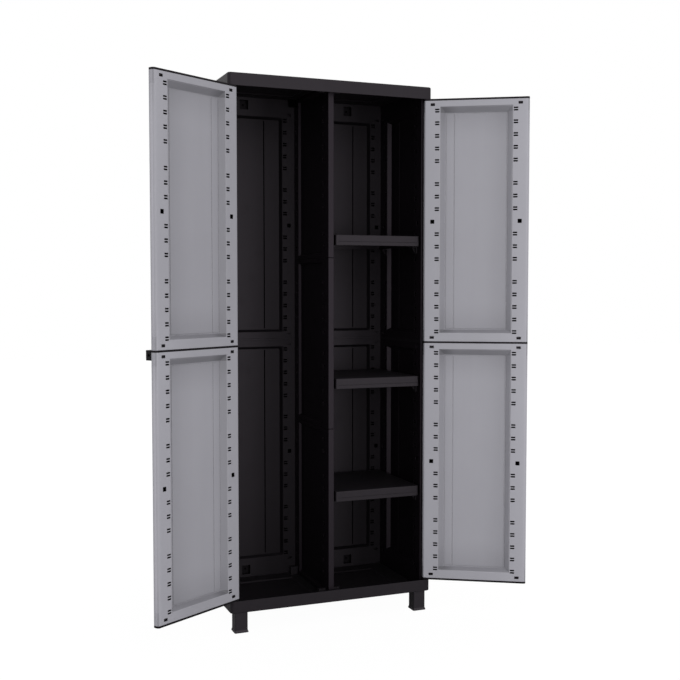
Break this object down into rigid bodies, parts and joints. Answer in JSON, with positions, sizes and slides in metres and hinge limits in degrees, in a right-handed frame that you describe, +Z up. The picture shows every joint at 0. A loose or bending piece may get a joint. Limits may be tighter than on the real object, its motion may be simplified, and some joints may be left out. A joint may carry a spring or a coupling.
{
  "type": "two-door resin storage cabinet",
  "caption": "Tall two-door resin garden storage cabinet with grey framed door panels, black carcass, centre divider, three half shelves and feet",
  "frame": {"origin": "floor level, under the middle of the cabinet's footprint", "axes": "+Z up, -Y the front, +X to the right seen from the front"},
  "size_m": [1.2298, 0.5436, 1.7],
  "materials": {
    "black_resin": "fine-grained moulded resin",
    "grey_resin": "fine-grained moulded resin",
    "bright_steel": "plain bright steel",
    "black_steel": "black zinc-plated steel"
  },
  "bodies": {
    "cabinet": {"base_tray": "black_resin", "roof_cap": "black_resin", "front_left_foot": "black_resin", "front_right_foot": "black_resin", "rear_left_foot": "black_resin", "rear_right_foot": "black_resin", "foot_screws": "black_steel", "back_lower_left_inner_panel": "black_resin", "back_lower_left_outer_panel": "black_resin", "back_lower_right_inner_panel": "black_resin", "back_lower_right_outer_panel": "black_resin", "back_upper_left_inner_panel": "black_resin", "back_upper_left_outer_panel": "black_resin", "back_upper_right_inner_panel": "black_resin", "back_upper_right_outer_panel": "black_resin", "back_left_joining_strip": "black_resin", "back_right_joining_strip": "black_resin", "left_wall_lower_inner_panel": "black_resin", "left_wall_lower_outer_panel": "black_resin", "left_wall_upper_inner_panel": "black_resin", "left_wall_upper_outer_panel": "black_resin", "left_wall_joining_strip": "black_resin", "right_wall_lower_inner_panel": "black_resin", "right_wall_lower_outer_panel": "black_resin", "right_wall_upper_inner_panel": "black_resin", "right_wall_upper_outer_panel": "black_resin", "right_wall_joining_strip": "black_resin", "divider_lower": "black_resin", "divider_middle": "black_resin", "divider_upper": "black_resin", "divider_dowels": "black_resin", "upper_shelf": "black_resin", "middle_shelf": "black_resin", "lower_shelf": "black_resin", "shelf_clips": "black_resin", "hinge_bushes": "black_resin"},
    "left_door": {"left_door_lower_inner_panel": "grey_resin", "left_door_lower_outer_panel": "grey_resin", "left_door_upper_inner_panel": "grey_resin", "left_door_upper_outer_panel": "grey_resin", "left_door_bottom_cap": "black_resin", "left_door_middle_strip": "black_resin", "left_door_top_cap": "black_resin", "left_door_handle": "black_resin", "left_door_hinge_pins": "bright_steel"},
    "right_door": {"right_door_lower_inner_panel": "grey_resin", "right_door_lower_outer_panel": "grey_resin", "right_door_upper_inner_panel": "grey_resin", "right_door_upper_outer_panel": "grey_resin", "right_door_bottom_cap": "black_resin", "right_door_middle_strip": "black_resin", "right_door_top_cap": "black_resin", "right_door_handle": "black_resin", "right_door_hinge_pins": "bright_steel"}
  },
  "joints": [
    {"name": "left_door_hinge", "type": "hinge", "parent": "cabinet", "child": "left_door", "pos_m": [-0.325, -0.1805, 0.881], "axis": [0, 0, -1], "range_deg": [-149.2, 30.8]},
    {"name": "right_door_hinge", "type": "hinge", "parent": "cabinet", "child": "right_door", "pos_m": [0.325, -0.1805, 0.881], "axis": [0, 0, 1], "range_deg": [-149.2, 30.8]}
  ]
}
